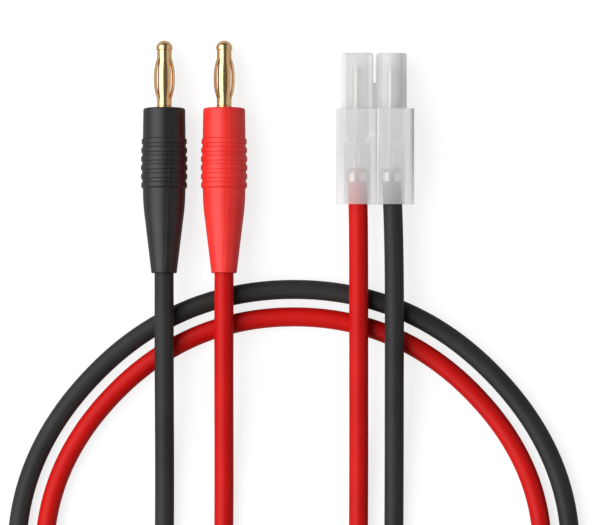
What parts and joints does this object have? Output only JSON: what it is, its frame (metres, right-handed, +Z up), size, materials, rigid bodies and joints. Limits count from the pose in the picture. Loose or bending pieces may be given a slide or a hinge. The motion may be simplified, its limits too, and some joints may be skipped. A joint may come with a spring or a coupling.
{
  "type": "charging lead",
  "caption": "Charging lead with ribbed lantern-spring banana plugs, black and red stranded wires, and a white two-pole battery connector with pin contacts.",
  "frame": {"origin": "on the surface the lead lies on, under the middle of the box round the plugs and the connector, the wires apart", "axes": "+Z up from the surface, +Y towards the tips of the plugs and the connector's tubes, +X from the black plug to the connector"},
  "size_m": [0.1149, 0.1484, 0.0096],
  "materials": {
    "gold_plate": "polished",
    "spring_gold": "polished",
    "black_grip": "matte",
    "red_grip": "matte",
    "black_jacket": "satin",
    "red_jacket": "satin",
    "copper": "satin",
    "solder": "satin",
    "contact_plate": "satin",
    "nylon": "satin"
  },
  "bodies": {
    "lead": {"black_pin": "gold_plate", "black_grip": "black_grip", "black_solder": "solder", "black_wire": "black_jacket", "black_conductor": "copper", "black_contact": "contact_plate", "red_pin": "gold_plate", "red_grip": "red_grip", "red_solder": "solder", "red_wire": "red_jacket", "red_conductor": "copper", "red_contact": "contact_plate", "connector_housing": "nylon"},
    "black_spring": {"black_spring": "spring_gold"},
    "red_spring": {"red_spring": "spring_gold"}
  },
  "joints": [
    {"name": "black_spring_turn", "type": "hinge", "parent": "lead", "child": "black_spring", "pos_m": [-0.02264, 0.01565, 0.00386], "axis": [0, 0.9985, -0.0541], "continuous": true},
    {"name": "red_spring_turn", "type": "hinge", "parent": "lead", "child": "red_spring", "pos_m": [-0.01066, 0.01565, 0.00386], "axis": [0, 0.9985, -0.0541], "continuous": true}
  ]
}
